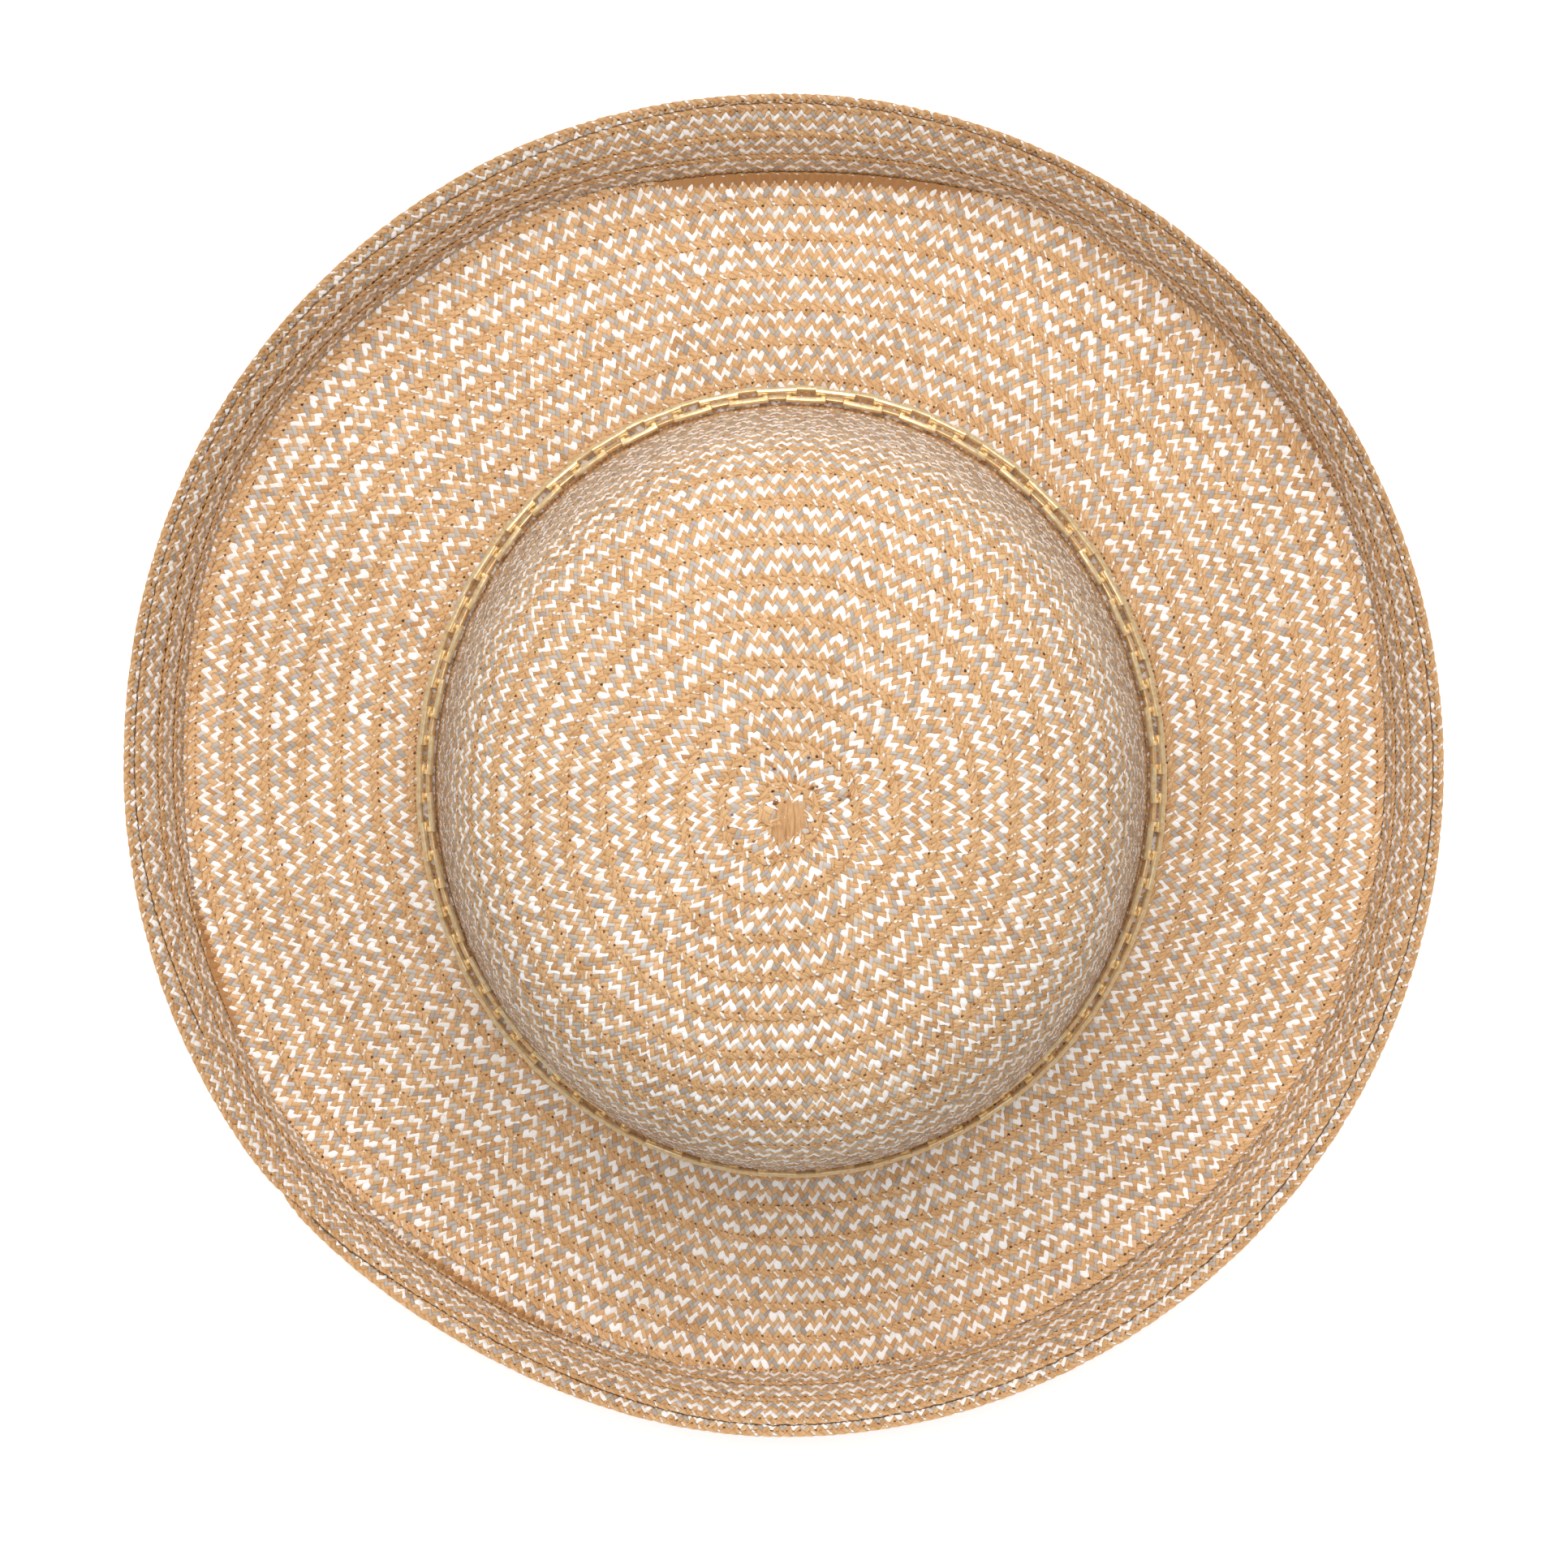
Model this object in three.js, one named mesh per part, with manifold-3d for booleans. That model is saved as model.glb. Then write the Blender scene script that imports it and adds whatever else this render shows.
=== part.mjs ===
// Kettle brim hat of sewn straw braid with a chain round the crown.
// Millimetres. Z is up, X runs across the head and Y along it. The hat stands on
// the ring under its brim, which is at Z = 0, below the middle of its outline.
import * as THREE from "three";
import Module from "manifold-3d";
import { mergeVertices } from "three/addons/utils/BufferGeometryUtils.js";

// Sizes of the straw
const STRAW_THICKNESS = 2.0;
const HEAD_HALF_WIDTH = 88.0;
const HEAD_HALF_LENGTH = 93.4;
const CROWN_HEIGHT = 85.0;
const CROWN_SHIFT_X = 1.9;
const CROWN_SHIFT_Y = -4.2;
const BRIM_HALF_WIDTH = 165.2;
const BRIM_HALF_LENGTH = 168.3;
const SEAT_RISE = 7.0;
const FOOT_WIDTH = 8.0;
const CURL_WIDTH = 12.0;
const CURL_HEIGHT = 26.0;
const SEWN_GAP = 0.3;

// Sizes of the chain
const LINK_LENGTH = 9.3;
const LINK_WIDTH = 4.6;
const LINK_WIRE = 1.1;
const LINK_CORNER = 1.0;
const LINK_BITE = 0.2;
const FLAT_LINK_TILT = 34;
const STEEP_LINK_TILT = -56;
const CHAIN_GAP = 0.3;

// Fineness of the faceted skins
const CROWN_SIDES = 36;
const BRIM_SIDES = 48;
const SLOPE_STEPS = 2;
const CURL_STEPS = 4;
const WIRE_SIDES = 5;

// Crown outline from the tip down: reach is a share of the base, fall a share of the height
const CROWN_OUTLINE = [
  { reach: 0.2, fall: 0.006 },
  { reach: 0.43, fall: 0.03 },
  { reach: 0.63, fall: 0.082 },
  { reach: 0.755, fall: 0.143 },
  { reach: 0.84, fall: 0.222 },
  { reach: 0.892, fall: 0.325 },
  { reach: 0.924, fall: 0.45 },
  { reach: 0.956, fall: 0.69 },
  { reach: 1.0, fall: 1.0 },
];

// Turned-up edge round the hat, anticlockwise from the right side. Turn is a share of
// the round, reach of the brim's oval, width and height of the curl's, and lean is the
// angle in degrees that the straw has turned through at the rim.
const CURL_ROUND = [
  { turn: 0.0, reach: 1.0, width: 1.0, height: 1.0, lean: 92 },
  { turn: 1 / 12, reach: 1.0, width: 0.74, height: 0.93, lean: 112 },
  { turn: 2 / 12, reach: 0.998, width: 1.02, height: 1.0, lean: 106 },
  { turn: 3 / 12, reach: 1.0, width: 1.65, height: 0.94, lean: 80 },
  { turn: 4 / 12, reach: 1.006, width: 1.18, height: 1.02, lean: 90 },
  { turn: 5 / 12, reach: 1.007, width: 0.88, height: 1.04, lean: 98 },
  { turn: 6 / 12, reach: 1.001, width: 1.02, height: 1.0, lean: 84 },
  { turn: 7 / 12, reach: 1.001, width: 0.84, height: 0.95, lean: 78 },
  { turn: 8 / 12, reach: 0.992, width: 0.8, height: 0.97, lean: 82 },
  { turn: 9 / 12, reach: 1.0, width: 1.03, height: 1.04, lean: 86 },
  { turn: 10 / 12, reach: 1.001, width: 1.0, height: 1.0, lean: 88 },
  { turn: 11 / 12, reach: 1.003, width: 1.0, height: 0.98, lean: 90 },
];

// Sizes that follow from the ones above
const CROWN_HALF_WIDTH = HEAD_HALF_WIDTH + STRAW_THICKNESS;
const CROWN_HALF_LENGTH = HEAD_HALF_LENGTH + STRAW_THICKNESS;
const SEAT_TOP = SEAT_RISE + STRAW_THICKNESS;
const CROWN_BASE = SEAT_TOP + SEWN_GAP;
const CROWN_TOP = CROWN_BASE + CROWN_HEIGHT;

// Materials
const strawMaterial = new THREE.MeshStandardMaterial({
  color: 0xd9b07a,
  roughness: 0.75,
  metalness: 0.0,
});
const brimMaterial = strawMaterial.clone();
const chainMaterial = new THREE.MeshStandardMaterial({
  color: 0xd9ab55,
  roughness: 0.25,
  metalness: 1.0,
});

// Closed skin through loops of points; a loop of one point is a pole
function skin(loops, joinsUp) {
  const positions = [];
  const starts = [];
  for (const loop of loops) {
    starts.push(positions.length / 3);
    for (const point of loop) positions.push(point.x, point.y, point.z);
  }
  const sides = Math.max(...loops.map((loop) => loop.length));
  const corner = (row, side) => starts[row] + (side % loops[row].length);
  const triangles = [];
  const bands = joinsUp ? loops.length : loops.length - 1;
  for (let row = 0; row < bands; row += 1) {
    const next = (row + 1) % loops.length;
    for (let side = 0; side < sides; side += 1) {
      const here = corner(row, side);
      const beside = corner(row, side + 1);
      const below = corner(next, side);
      const across = corner(next, side + 1);
      if (here !== beside) triangles.push(here, below, beside);
      if (below !== across) triangles.push(beside, below, across);
    }
  }
  const geometry = new THREE.BufferGeometry();
  geometry.setAttribute("position", new THREE.Float32BufferAttribute(positions, 3));
  geometry.setIndex(triangles);
  return geometry;
}

// Table value at a share of the round, eased from each row to the next
function roundValue(table, turn, name) {
  const step = 1 / table.length;
  const place = (((turn % 1) + 1) % 1) / step;
  const row = Math.floor(place) % table.length;
  const ease = (1 - Math.cos(Math.PI * (place - Math.floor(place)))) / 2;
  const start = table[row][name];
  const end = table[(row + 1) % table.length][name];
  return start + (end - start) * ease;
}

// Point on an oval round the crown's own axis
function crownPoint(halfWidth, halfLength, angle, height) {
  const x = CROWN_SHIFT_X + halfWidth * Math.cos(angle);
  const y = CROWN_SHIFT_Y + halfLength * Math.sin(angle);
  return new THREE.Vector3(x, y, height);
}

// Moves each point of a flat outline sideways by the straw's thickness
function offsetOutline(outline, thickness) {
  const moved = [];
  for (let i = 0; i < outline.length; i += 1) {
    const before = outline[Math.max(i - 1, 0)];
    const after = outline[Math.min(i + 1, outline.length - 1)];
    const along = after.clone().sub(before).normalize();
    moved.push(new THREE.Vector2(
      outline[i].x - along.y * thickness,
      outline[i].y + along.x * thickness,
    ));
  }
  return moved;
}

// Crown: a hollow dome with one wall thickness, open below
function makeCrown() {
  const outer = CROWN_OUTLINE.map((row) => new THREE.Vector2(
    row.reach * CROWN_HALF_WIDTH,
    CROWN_TOP - row.fall * CROWN_HEIGHT,
  ));
  const inner = offsetOutline(outer, -STRAW_THICKNESS);
  inner[inner.length - 1].set(HEAD_HALF_WIDTH, CROWN_BASE);
  const stretch = CROWN_HALF_LENGTH - CROWN_HALF_WIDTH;
  const ring = (place) => {
    const lengthways = place.x + (stretch * place.x) / CROWN_HALF_WIDTH;
    const loop = [];
    for (let side = 0; side < CROWN_SIDES; side += 1) {
      const angle = (2 * Math.PI * side) / CROWN_SIDES;
      loop.push(crownPoint(place.x, lengthways, angle, place.y));
    }
    return loop;
  };
  const tip = [crownPoint(0, 0, 0, CROWN_TOP)];
  const roof = [crownPoint(0, 0, 0, CROWN_TOP - STRAW_THICKNESS)];
  const loops = [tip, ...outer.map(ring), ...inner.reverse().map(ring), roof];
  return skin(loops, false);
}

// One section of the brim's underside: a level seat below the crown, a slope down to
// the flat foot, then the curl up to the rim. X is measured outwards from the opening.
function brimUnderside(turn, reachOut) {
  const width = CURL_WIDTH * roundValue(CURL_ROUND, turn, "width");
  const height = CURL_HEIGHT * roundValue(CURL_ROUND, turn, "height");
  const sweep = THREE.MathUtils.degToRad(roundValue(CURL_ROUND, turn, "lean"));
  const widest = sweep > Math.PI / 2 ? 1 : Math.sin(sweep);
  const seatEnd = STRAW_THICKNESS + CHAIN_GAP;
  const footStart = reachOut - width - FOOT_WIDTH;
  const outline = [new THREE.Vector2(0, SEAT_RISE), new THREE.Vector2(seatEnd, SEAT_RISE)];
  for (let step = 1; step < SLOPE_STEPS; step += 1) {
    const share = step / SLOPE_STEPS;
    const fall = SEAT_RISE * (1 - share) ** 1.3;
    outline.push(new THREE.Vector2(seatEnd + (footStart - seatEnd) * share, fall));
  }
  outline.push(new THREE.Vector2(footStart, 0));
  outline.push(new THREE.Vector2(footStart + FOOT_WIDTH, 0));
  for (let step = 1; step <= CURL_STEPS; step += 1) {
    const angle = (sweep * step) / CURL_STEPS;
    const x = footStart + FOOT_WIDTH + (width * Math.sin(angle)) / widest;
    const z = (height * (1 - Math.cos(angle))) / (1 - Math.cos(sweep));
    outline.push(new THREE.Vector2(x, z));
  }
  return outline;
}

// Brim: one sheet of straw from the head opening to the rim
function makeBrim() {
  const sections = [];
  for (let side = 0; side < BRIM_SIDES; side += 1) {
    const turn = side / BRIM_SIDES;
    const angle = 2 * Math.PI * turn;
    const opening = crownPoint(HEAD_HALF_WIDTH, HEAD_HALF_LENGTH, angle, 0);
    const reach = roundValue(CURL_ROUND, turn, "reach");
    const rim = new THREE.Vector3(
      reach * BRIM_HALF_WIDTH * Math.cos(angle),
      reach * BRIM_HALF_LENGTH * Math.sin(angle),
      0,
    );
    const outwards = rim.clone().sub(opening);
    const reachOut = outwards.length();
    outwards.normalize();
    const under = brimUnderside(turn, reachOut);
    const over = offsetOutline(under, STRAW_THICKNESS);
    over[0].set(0, SEAT_TOP);
    over[1].set(under[1].x, SEAT_TOP);
    const place = (point) => {
      const spot = opening.clone().addScaledVector(outwards, point.x);
      return spot.setZ(point.y);
    };
    sections.push([...over.map(place), ...under.reverse().map(place)]);
  }
  const loops = sections[0].map((_, row) => sections.map((section) => section[row]));
  return skin(loops, true);
}

// Rounded rectangle that a link's wire follows, in the link's own plane
function linkPath(length) {
  const halfLength = (length - LINK_WIRE) / 2;
  const halfWidth = (LINK_WIDTH - LINK_WIRE) / 2;
  const path = [];
  for (const [signX, signY] of [[1, 1], [-1, 1], [-1, -1], [1, -1]]) {
    const nearEnd = new THREE.Vector2(signX * halfLength, signY * (halfWidth - LINK_CORNER));
    const nearSide = new THREE.Vector2(signX * (halfLength - LINK_CORNER), signY * halfWidth);
    if (signX * signY > 0) path.push(nearEnd, nearSide);
    else path.push(nearSide, nearEnd);
  }
  return path;
}

// Link: a wire bent round its path, lying in the plane of the given frame
function makeLink(path, frame) {
  const loops = path.map((point, i) => {
    const before = path[(i + path.length - 1) % path.length];
    const after = path[(i + 1) % path.length];
    const along = after.clone().sub(before).normalize();
    const inwards = new THREE.Vector2(-along.y, along.x);
    const turnHere = Math.abs(after.clone().sub(point).cross(point.clone().sub(before)));
    const legs = after.distanceTo(point) * point.distanceTo(before);
    const mitre = 1 / Math.cos(Math.asin(Math.min(turnHere / legs, 1)) / 2);
    const loop = [];
    for (let side = 0; side < WIRE_SIDES; side += 1) {
      const angle = (2 * Math.PI * side) / WIRE_SIDES;
      const inset = (LINK_WIRE / 2) * Math.cos(angle) * mitre;
      const lift = (-LINK_WIRE / 2) * Math.sin(angle);
      const spot = new THREE.Vector3(
        point.x + inwards.x * inset,
        point.y + inwards.y * inset,
        lift,
      );
      loop.push(spot.applyMatrix4(frame));
    }
    return loop;
  });
  return skin(loops, true);
}

// Chain: links on an oval in the corner of crown and brim, each held by the next
function makeChain(wasm) {
  const halfWire = LINK_WIRE / 2;
  const tilts = [FLAT_LINK_TILT, STEEP_LINK_TILT].map((tilt) => THREE.MathUtils.degToRad(tilt));
  const spread = (LINK_WIDTH - LINK_WIRE) / 2;
  const sideways = Math.max(...tilts.map((tilt) => spread * Math.abs(Math.cos(tilt)))) + halfWire;
  const upright = Math.max(...tilts.map((tilt) => spread * Math.abs(Math.sin(tilt)))) + halfWire;
  const offset = CHAIN_GAP + sideways;
  const route = new THREE.EllipseCurve(
    CROWN_SHIFT_X, CROWN_SHIFT_Y, CROWN_HALF_WIDTH + offset, CROWN_HALF_LENGTH + offset,
  );
  route.arcLengthDivisions = 720;
  const nominalPitch = LINK_LENGTH - 2 * LINK_WIRE + LINK_BITE;
  const pairs = Math.round(route.getLength() / nominalPitch / 2);
  const count = 2 * pairs;
  const path = linkPath(route.getLength() / count + 2 * LINK_WIRE - LINK_BITE);
  let chain = null;
  for (let i = 0; i < count; i += 1) {
    const share = i / count;
    const spot = route.getPointAt(share);
    const tangent = route.getTangentAt(share);
    const tilt = tilts[i % 2];
    const along = new THREE.Vector3(tangent.x, tangent.y, 0);
    const outwards = new THREE.Vector3(tangent.y, -tangent.x, 0);
    const across = outwards.multiplyScalar(-Math.cos(tilt)).setZ(Math.sin(tilt));
    const facing = along.clone().cross(across);
    const frame = new THREE.Matrix4().makeBasis(along, across, facing);
    frame.setPosition(spot.x, spot.y, SEAT_TOP + CHAIN_GAP + upright);
    const link = toSolid(wasm, makeLink(path, frame));
    chain = chain ? chain.add(link) : link;
  }
  return fromSolid(chain);
}

// Solid for joining, made from a closed geometry
function toSolid(wasm, geometry) {
  const plain = geometry.clone();
  plain.deleteAttribute("normal");
  plain.deleteAttribute("uv");
  const merged = mergeVertices(plain);
  return new wasm.Manifold(new wasm.Mesh({
    numProp: 3,
    vertProperties: new Float32Array(merged.attributes.position.array),
    triVerts: new Uint32Array(merged.index.array),
  }));
}

// Geometry of a joined solid
function fromSolid(solid) {
  const mesh = solid.getMesh();
  const geometry = new THREE.BufferGeometry();
  geometry.setAttribute("position", new THREE.BufferAttribute(mesh.vertProperties, 3));
  geometry.setIndex(new THREE.BufferAttribute(mesh.triVerts, 1));
  return geometry;
}

// Named mesh with smooth shading
function piece(name, geometry, material) {
  geometry.computeVertexNormals();
  const mesh = new THREE.Mesh(geometry, material);
  mesh.name = name;
  return mesh;
}

const wasm = await Module();
wasm.setup();

const hat = new THREE.Group();
hat.add(piece("crown", makeCrown(), strawMaterial));
hat.add(piece("brim", makeBrim(), brimMaterial));
hat.add(piece("chain", makeChain(wasm), chainMaterial));

export default hat;
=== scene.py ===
import math

import bmesh
import bpy
import numpy as np
from mathutils import Matrix, Vector


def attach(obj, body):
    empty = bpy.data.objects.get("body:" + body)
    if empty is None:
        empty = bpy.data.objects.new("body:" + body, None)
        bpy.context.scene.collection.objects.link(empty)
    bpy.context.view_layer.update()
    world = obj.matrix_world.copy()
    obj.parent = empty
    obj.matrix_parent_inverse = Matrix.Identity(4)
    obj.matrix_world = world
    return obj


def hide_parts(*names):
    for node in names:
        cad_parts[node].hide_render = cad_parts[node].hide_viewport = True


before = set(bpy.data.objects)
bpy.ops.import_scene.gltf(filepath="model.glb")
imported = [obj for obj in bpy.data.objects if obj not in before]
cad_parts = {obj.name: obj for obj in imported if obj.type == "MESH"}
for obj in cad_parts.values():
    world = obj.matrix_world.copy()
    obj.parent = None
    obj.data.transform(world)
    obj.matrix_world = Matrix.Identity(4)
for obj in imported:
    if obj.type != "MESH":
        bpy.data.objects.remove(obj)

bpy.ops.object.select_all(action="DESELECT")
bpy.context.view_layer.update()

# Sizes of the hat, in millimetres, as in the solids
MM = 0.001
STRAW = 2.0
PIECE_GAP = 0.3
HEAD_HALF_WIDTH = 88.0
HEAD_HALF_LENGTH = 93.4
CROWN_HEIGHT = 85.0
CROWN_SHIFT = (1.9, -4.2)
CROWN_SWELL = 3.4
BRIM_HALF_WIDTH = 165.2
BRIM_HALF_LENGTH = 168.3
SEAT_RISE = 7.0
SEAT_CURVE = 1.3
FOOT_WIDTH = 8.0
CURL_WIDTH = 12.0
CURL_HEIGHT = 26.0
CROWN_BASE = SEAT_RISE + STRAW + PIECE_GAP
CROWN_TOP = CROWN_BASE + CROWN_HEIGHT

# Braid: one step of its lattice along and across, in millimetres, and its count of steps and strands
STEP_ALONG = 0.67
STEP_ACROSS = 0.905
BRAID_STEPS = 15
STRANDS = 14

# Relief of the braid, in millimetres
SHINGLE = 0.55
RIBBON = 1.1
LOW_FACE = 0.4
STRAND_RISE = 0.2
RISE_STRAY = 0.05
GROOVE = 0.18
EDGE_DROP = 0.42
TAN_EDGE = 3.2

# Unevenness of the braid, in steps: of each dip, of the edge, and of the edge over one repeat
WOBBLE = 0.12
EDGE_STRAY = 0.12
EDGE_SCALLOP = np.array([0, 0, -0.12, 0.32])

# How much wider a strand is than its step: in general, by float, along the strand; and the limits
WHITE_WIDTH = (-0.08, 0.17, 0.17)
PLAIN_WIDTH = (0.0, 0.09, 0.06)
WIDTH_LIMITS = (-0.34, 0.55)

# Dye of each strand: 0 is tan, 0.5 grey, 1 white
STRAND_DYE = np.array([0.0 if k % 2 == 0 else (1.0 if k % 4 == 1 else 0.5) for k in range(STRANDS)])

# Sizes of the chain, in millimetres; its tilts in radians, and their stray in degrees
LINK_LENGTH = 10.0
LINK_WIDTH = 4.9
LINK_WIRE = 1.45
LINK_CORNER = 1.6
LINK_ROUNDING = 0.5
LINK_BITE = 0.2
LINK_TILTS = (math.radians(34), math.radians(-56))
TILT_STRAY = 5

# Crown outline from the tip down: share of the half width, share of the height
CROWN_OUTLINE = np.array([
    (0.0, 0.0), (0.2, 0.006), (0.43, 0.03), (0.63, 0.082), (0.755, 0.143), (0.84, 0.222),
    (0.892, 0.325), (0.924, 0.45), (0.956, 0.69), (1.0, 1.0),
])

# Turned-up edge every 30 degrees from the right side, anticlockwise:
# reach, width of the curl, height of the curl
CURL_ROUND = np.array([
    (1.0, 1.0, 1.0), (1.0, 0.74, 0.93), (0.998, 1.02, 1.0), (1.0, 1.65, 0.94),
    (1.006, 1.18, 1.02), (1.007, 0.88, 1.04), (1.001, 1.02, 1.0), (1.001, 0.84, 0.95),
    (0.992, 0.8, 0.97), (1.0, 1.03, 1.04), (1.001, 1.0, 1.0), (1.003, 1.0, 0.98),
])

# Curl from the crease to the rim: share of its width, share of its height
CURL_OUTLINE = np.array([
    (0.0, 0.0), (0.1, 0.09), (0.2, 0.27), (0.33, 0.49),
    (0.5, 0.69), (0.7, 0.84), (0.86, 0.93), (1.0, 1.0),
])

# How far a row's edge strays outwards from an even spiral, in rows, every 30 degrees
CROWN_STRAY = np.array([0.0, 0.03, 0.01, 0.1, 0.33, 0.52, 0.67, 0.76, 0.61, 0.29, 0.17, 0.11])
BRIM_STRAY = np.array([0.25, 0.36, 0.59, 0.65, 0.4, 0.71, 0.76, 0.33, -0.46, -0.07, -0.1, 0.03])

# Winding of the braid: rows across each surface, and where the turns start, in degrees
CROWN_ROWS = 15.4
BRIM_ROWS = 10.3
CROWN_START = 0.0
BRAID_END = 222.0

# First and last turn on each surface
STRIP_TAPER = 0.012
CROWN_TURNS = (-0.95, 15.5)
BRIM_TURNS = (-0.4, 11.0 + STRIP_TAPER)

# Edge of the crown's first row, in rows from the tip
CROWN_FIRST_EDGE = 0.67

# Rows at the rim and the crease, in rows of the brim, and how far their edges stand up
RIM_STRIP = 0.26
CREASE_ROW = BRIM_ROWS - 3.6
CREASE_LIFT = 0.75
RIM_LIFT = 0.5

# Grid of each surface: places round the hat, and steps across
AROUND = 720
ACROSS = 240

# Shares of the way across where the braid stops, at the tip and past the rim, and how it eases there
TIP_SHARE = 0.003
RIM_SHARE = 1.001
PAST_RIM = 0.002
RIM_EASE = 0.01

# Where a row's tilt and its lifted edge end, in rows
TILT_LIMITS = (0.2, 1.4)
LIFT_SLOPE = 2.2

# Samples of a turn, step in the middle of what shows of a row, and columns beyond the last repeat
TURN_SAMPLES = 1440
MIDDLE_STEP = 11.0
SPARE_COLUMNS = 8


# Shapes of crown and brim
def smooth_line(points, pieces):
    """A rounded line through the given points, in pieces to each stretch."""
    mirrored = points[1] * [-1, 1]
    padded = np.vstack([mirrored, points, 2 * points[-1] - points[-2]])
    t = np.linspace(0, 1, pieces, endpoint=False)[:, None]
    line = []
    for a, b, c, d in zip(padded, padded[1:], padded[2:], padded[3:]):
        line.append(b + 0.5 * t * (c - a + t * (2 * a - 5 * b + 4 * c - d + t * (3 * (b - c) + d - a))))
    return np.vstack(line + [points[-1:]])


def push_sideways(line, distance):
    """The line moved to its left by a distance."""
    along = np.gradient(line, axis=0)
    along /= np.linalg.norm(along, axis=1)[:, None]
    return line + distance * np.column_stack([-along[:, 1], along[:, 0]])


def even_steps(points):
    """The same line in ACROSS even steps, and its length."""
    length = np.concatenate([[0], np.cumsum(np.linalg.norm(np.diff(points, axis=0), axis=1))])
    places = np.linspace(0, length[-1], ACROSS + 1)
    return np.column_stack([np.interp(places, length, column) for column in points.T]), length[-1]


def round_table(table, angle):
    """Rows of a table eased round the hat, one for each angle in radians."""
    place = (angle / (2 * np.pi) % 1) * len(table)
    row = np.floor(place).astype(int) % len(table)
    ease = (1 - np.cos(np.pi * (place - np.floor(place)))) / 2
    if table.ndim > 1:
        ease = ease[:, None]
    return table[row] + (table[(row + 1) % len(table)] - table[row]) * ease


def with_normals(grid):
    """Places and outward normals of a grid of points round the hat."""
    around = np.roll(grid, -1, axis=0) - np.roll(grid, 1, axis=0)
    across = np.gradient(grid, axis=1)
    normal = np.cross(across, around)
    size = np.linalg.norm(normal, axis=2)
    normal[size < 1e-9] = (0, 0, 1)
    size[size < 1e-9] = 1
    return np.concatenate([grid, normal / size[..., None]], axis=2)


def crown_surface():
    """Middle of the crown's wall, from the tip down."""
    outline = np.column_stack([
        CROWN_OUTLINE[:, 0] * (HEAD_HALF_WIDTH + STRAW),
        CROWN_TOP - CROWN_OUTLINE[:, 1] * CROWN_HEIGHT,
    ])
    line = push_sideways(smooth_line(outline, 12), -STRAW / 2)
    line[0, 0] = 0
    stretch = (HEAD_HALF_LENGTH + STRAW) / (HEAD_HALF_WIDTH + STRAW)
    grid, lengths = [], []
    down = (CROWN_TOP - line[:, 1]) / CROWN_HEIGHT
    swell = CROWN_SWELL * np.interp(down, (0, 0.2, 0.6, 0.85, 1), (0, 0.25, 0.9, 1, 0.3))
    for angle in np.linspace(0, 2 * np.pi, AROUND, endpoint=False):
        reach = line[:, 0] + swell * max(0, -math.sin(angle)) ** 1.5
        points = np.column_stack([
            CROWN_SHIFT[0] + reach * math.cos(angle),
            CROWN_SHIFT[1] + reach * stretch * math.sin(angle),
            line[:, 1],
        ])
        points, length = even_steps(points)
        grid.append(points)
        lengths.append(length)
    return with_normals(np.array(grid)), np.array(lengths)


def brim_surface():
    """Middle of the brim's sheet, from the head opening out to the rim."""
    grid, lengths = [], []
    angles = np.linspace(0, 2 * np.pi, AROUND, endpoint=False)
    curl = smooth_line(CURL_OUTLINE, 8)
    for angle, (reach, wide, high) in zip(angles, round_table(CURL_ROUND, angles)):
        opening = np.array([
            CROWN_SHIFT[0] + HEAD_HALF_WIDTH * math.cos(angle),
            CROWN_SHIFT[1] + HEAD_HALF_LENGTH * math.sin(angle),
        ])
        rim = reach * np.array([BRIM_HALF_WIDTH * math.cos(angle), BRIM_HALF_LENGTH * math.sin(angle)])
        reach_out = np.linalg.norm(rim - opening)
        outwards = (rim - opening) / reach_out
        width, height = CURL_WIDTH * wide, CURL_HEIGHT * high
        foot = reach_out - width - FOOT_WIDTH
        slope = np.linspace(0, 1, 40)
        under = np.vstack([
            [(0, SEAT_RISE)],
            np.column_stack([
                STRAW + PIECE_GAP + (foot - STRAW - PIECE_GAP) * slope,
                SEAT_RISE * (1 - slope) ** SEAT_CURVE,
            ]),
            [(foot + FOOT_WIDTH / 2, 0)],
            np.column_stack([foot + FOOT_WIDTH + width * curl[:, 0], height * curl[:, 1]]),
        ])
        line = push_sideways(under, STRAW / 2)
        points = np.column_stack([opening + line[:, :1] * outwards, line[:, 1]])
        points, length = even_steps(points)
        grid.append(points)
        lengths.append(length)
    return with_normals(np.array(grid)), np.array(lengths)


def on_surface(surface, angle, share):
    """Places and normals at angles in radians and shares of the way across."""
    a = (angle / (2 * np.pi) % 1) * AROUND
    s = share * ACROSS
    i = np.floor(a).astype(int) % AROUND
    j = np.clip(np.floor(s).astype(int), 0, ACROSS - 1)
    fa, fs = (a - np.floor(a))[..., None], (s - j)[..., None]
    n = (i + 1) % AROUND
    low = surface[i, j] * (1 - fs) + surface[i, j + 1] * fs
    high = surface[n, j] * (1 - fs) + surface[n, j + 1] * fs
    both = low * (1 - fa) + high * fa
    return both[..., :3], both[..., 3:]


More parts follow.
